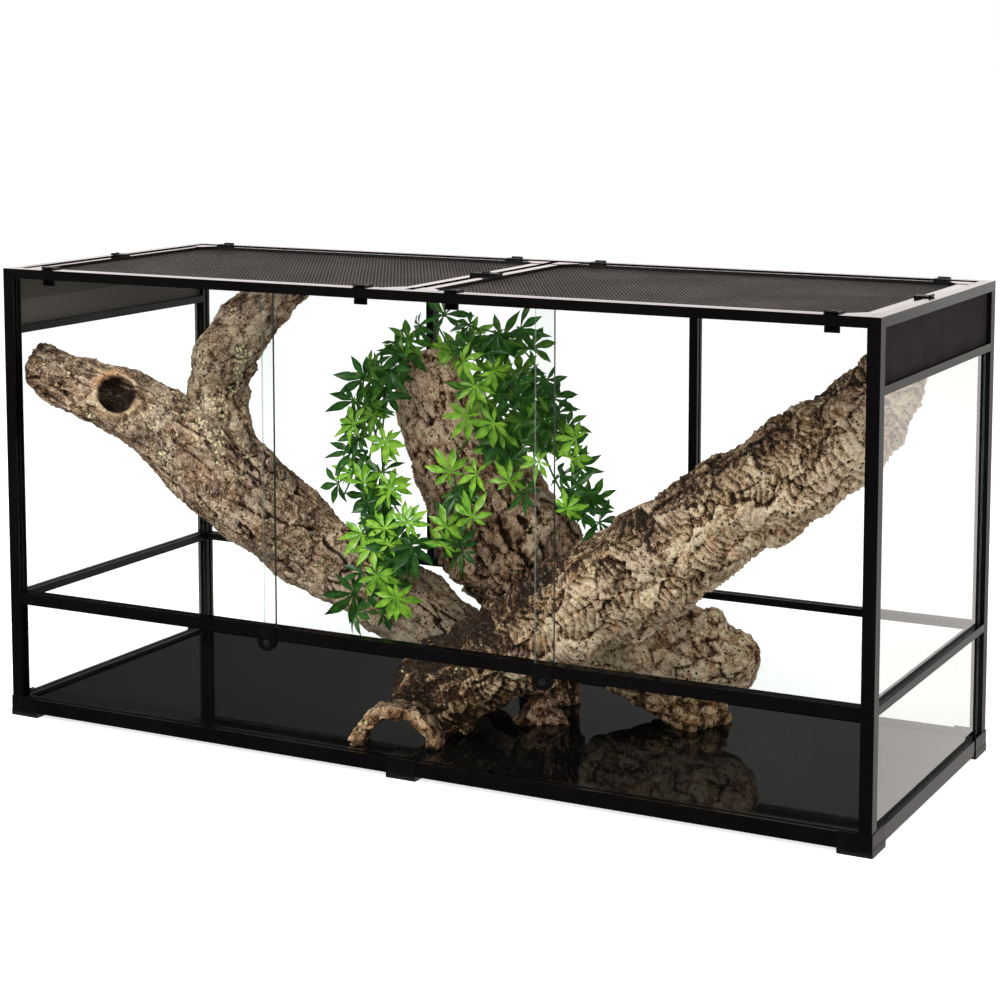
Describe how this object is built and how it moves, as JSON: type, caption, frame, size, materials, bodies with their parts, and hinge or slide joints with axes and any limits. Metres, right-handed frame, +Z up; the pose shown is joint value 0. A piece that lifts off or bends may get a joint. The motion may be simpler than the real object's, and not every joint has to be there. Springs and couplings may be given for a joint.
{
  "type": "reptile terrarium",
  "caption": "Framed glass terrarium with sliding front doors, door locks, vented sides, lift-off mesh lids, corner feet, cork bark and hanging vines.",
  "frame": {"origin": "middle of the footprint, on the surface that the feet stand on", "axes": "+X to the right along the long side, +Y from the doors to the rear, +Z up"},
  "size_m": [1.22, 0.457, 0.6133],
  "materials": {
    "frame_profile": "black anodised aluminium profile, satin gloss",
    "lid_profile": "black coated profile, gloss",
    "vent_sheet": "finely perforated black sheet, matt",
    "mesh": "woven dark wire mesh, matt",
    "black_plastic": "moulded, satin gloss",
    "glass": "clear float glass with ground edges",
    "floor_sheet": "dark, high gloss",
    "lock_metal": "bright",
    "cork": "raw cork bark, deeply fissured",
    "leaves": "printed artificial leaves"
  },
  "bodies": {
    "enclosure": {"base_rail_front": "frame_profile", "base_rail_rear": "frame_profile", "base_rail_left": "frame_profile", "base_rail_right": "frame_profile", "post_front_left": "frame_profile", "post_front_right": "frame_profile", "post_rear_left": "frame_profile", "post_rear_right": "frame_profile", "rear_post_left": "frame_profile", "rear_post_right": "frame_profile", "middle_rail_front": "frame_profile", "middle_rail_rear": "frame_profile", "middle_rail_left": "frame_profile", "middle_rail_right": "frame_profile", "top_rail_front": "frame_profile", "top_rail_rear": "frame_profile", "top_rail_left": "frame_profile", "top_rail_right": "frame_profile", "top_cross_bar": "frame_profile", "vent_rail_left": "frame_profile", "vent_rail_right": "frame_profile", "vent_panel_left": "vent_sheet", "vent_panel_right": "vent_sheet", "foot_front_left": "black_plastic", "foot_front_right": "black_plastic", "foot_rear_left": "black_plastic", "foot_rear_right": "black_plastic", "foot_clips": "black_plastic", "floor_panel": "floor_sheet", "front_glass": "glass", "side_glass_low_left": "glass", "side_glass_low_right": "glass", "side_glass_left": "glass", "side_glass_right": "glass", "rear_glass_low": "glass", "rear_glass_left": "glass", "rear_glass_middle": "glass", "rear_glass_right": "glass", "lock_body_left": "black_plastic", "lock_body_right": "black_plastic", "cork_branch": "cork", "cork_arm": "cork", "cork_upright": "cork", "cork_log": "cork", "cork_low_log": "cork", "cork_tube": "cork", "cork_flats": "cork", "vine_left": "leaves", "vine_right": "leaves"},
    "door_left": {"door_left": "glass"},
    "door_middle": {"door_middle": "glass"},
    "door_right": {"door_right": "glass"},
    "lock_left": {"lock_plug_left": "lock_metal"},
    "lock_right": {"lock_plug_right": "lock_metal"},
    "lid_left": {"lid_frame_left": "lid_profile", "lid_mesh_left": "mesh", "lid_clips_left": "black_plastic"},
    "lid_right": {"lid_frame_right": "lid_profile", "lid_mesh_right": "mesh", "lid_clips_right": "black_plastic"}
  },
  "joints": [
    {"name": "door_left_slide", "type": "slide", "parent": "enclosure", "child": "door_left", "axis": [1, 0, 0], "range_m": [0, 0.18]},
    {"name": "door_middle_slide", "type": "slide", "parent": "enclosure", "child": "door_middle", "axis": [1, 0, 0], "range_m": [-0.385, 0.385]},
    {"name": "door_right_slide", "type": "slide", "parent": "enclosure", "child": "door_right", "axis": [1, 0, 0], "range_m": [-0.18, 0]},
    {"name": "lock_left_turn", "type": "hinge", "parent": "enclosure", "child": "lock_left", "pos_m": [-0.196, -0.2285, 0.1494], "axis": [0, 1, 0], "range_deg": [0, 90]},
    {"name": "lock_right_turn", "type": "hinge", "parent": "enclosure", "child": "lock_right", "pos_m": [0.196, -0.2285, 0.1494], "axis": [0, 1, 0], "range_deg": [0, 90]},
    {"name": "lid_left_lift", "type": "slide", "parent": "enclosure", "child": "lid_left", "axis": [0, 0, 1], "range_m": [0, 0.2]},
    {"name": "lid_right_lift", "type": "slide", "parent": "enclosure", "child": "lid_right", "axis": [0, 0, 1], "range_m": [0, 0.2]}
  ]
}
